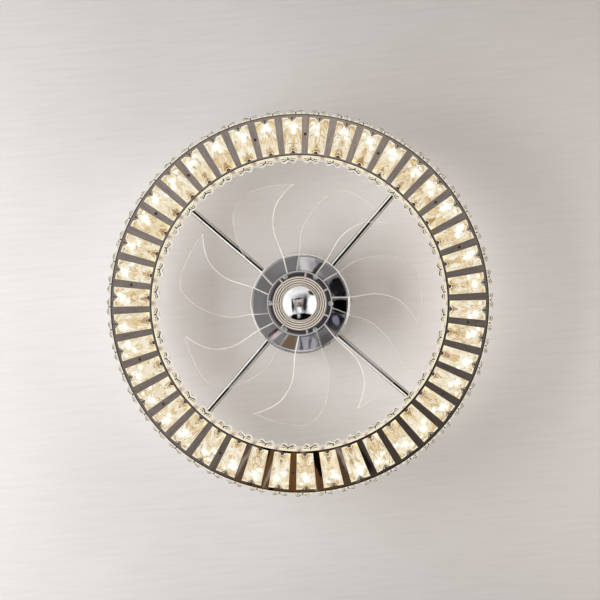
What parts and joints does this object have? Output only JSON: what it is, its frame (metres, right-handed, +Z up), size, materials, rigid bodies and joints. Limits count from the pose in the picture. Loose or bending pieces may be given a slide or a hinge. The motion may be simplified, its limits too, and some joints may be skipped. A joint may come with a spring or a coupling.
{
  "type": "ceiling fan with light",
  "caption": "Flush ceiling fan with a clear impeller inside a ring of lit crystals, hung from a chrome canopy on four arms.",
  "frame": {"origin": "on the ceiling, at the middle of the bracket's two slots, on the motor's axis", "axes": "+Z up into the ceiling along the motor's axis; +X through the bracket's slots; the arms lie at 45 degrees between X and Y"},
  "size_m": [0.499, 0.499, 0.171],
  "materials": {
    "zinc_steel": "zinc plated",
    "polished_steel": "mirror polished stainless steel",
    "chrome": "bright chrome plate",
    "mirror_cap": "mirror metallised plastic",
    "crystal": "polished facets",
    "clear_plastic": "clear, polished",
    "cast_aluminium": "die cast",
    "lamination": "stacked electrical steel",
    "copper": "enamelled copper wire",
    "ferrite": "ground ferrite",
    "bearing_steel": "ground",
    "white_paint": "white powder coat",
    "circuit_board": "white solder mask",
    "warm_diode": "phosphor under clear resin",
    "white_case": "fine moulded grain",
    "terminal_plastic": "moulded",
    "terminal_brass": "turned",
    "black_rubber": "moulded",
    "white_lead": "silicone insulation",
    "grey_plastic": "moulded"
  },
  "bodies": {
    "root": {"ceiling_bracket": "zinc_steel", "cable_grommet": "black_rubber", "canopy": "chrome", "canopy_side_screws": "zinc_steel", "motor_front_housing": "cast_aluminium", "motor_rear_housing": "cast_aluminium", "motor_through_bolts": "zinc_steel", "motor_bolt_nuts": "zinc_steel", "motor_screws": "polished_steel", "stator_core": "lamination", "stator_windings": "copper", "front_bearing_outer_ring": "bearing_steel", "front_bearing_balls": "bearing_steel", "rear_bearing_outer_ring": "bearing_steel", "rear_bearing_balls": "bearing_steel", "driver_tray": "zinc_steel", "led_driver": "white_case", "fan_controller": "white_case", "driver_screws": "zinc_steel", "terminal_block": "terminal_plastic", "terminal_screws": "terminal_brass", "led_lead": "white_lead", "motor_lead": "white_lead", "supply_leads": "white_lead", "arm_1": "chrome", "arm_2": "chrome", "arm_3": "chrome", "arm_4": "chrome", "arm_canopy_nuts": "zinc_steel", "arm_ring_nuts": "zinc_steel", "ring_bottom_plate": "polished_steel", "ring_outer_wall_1": "polished_steel", "ring_outer_wall_2": "polished_steel", "ring_inner_wall_1": "polished_steel", "ring_inner_wall_2": "polished_steel", "ring_top_cover": "white_paint", "ring_standoffs": "zinc_steel", "ring_bottom_screws": "polished_steel", "ring_top_screws": "zinc_steel", "led_board_outer": "circuit_board", "led_board_inner": "circuit_board", "led_chips_outer": "warm_diode", "led_chips_inner": "warm_diode", "bottom_crystals": "crystal", "outer_crystals": "crystal", "inner_crystals": "crystal"},
    "rotor": {"motor_shaft": "bearing_steel", "drive_pin": "zinc_steel", "rotor_magnet": "ferrite", "rotor_core": "lamination", "rotor_spacers": "bearing_steel", "front_bearing_inner_ring": "bearing_steel", "rear_bearing_inner_ring": "bearing_steel", "fan_impeller": "clear_plastic", "impeller_washer": "grey_plastic", "spinner_nut": "mirror_cap"}
  },
  "joints": [
    {"name": "fan_spin", "type": "hinge", "parent": "root", "child": "rotor", "pos_m": [0, 0, -0.13], "axis": [0, 0, 1], "continuous": true}
  ]
}
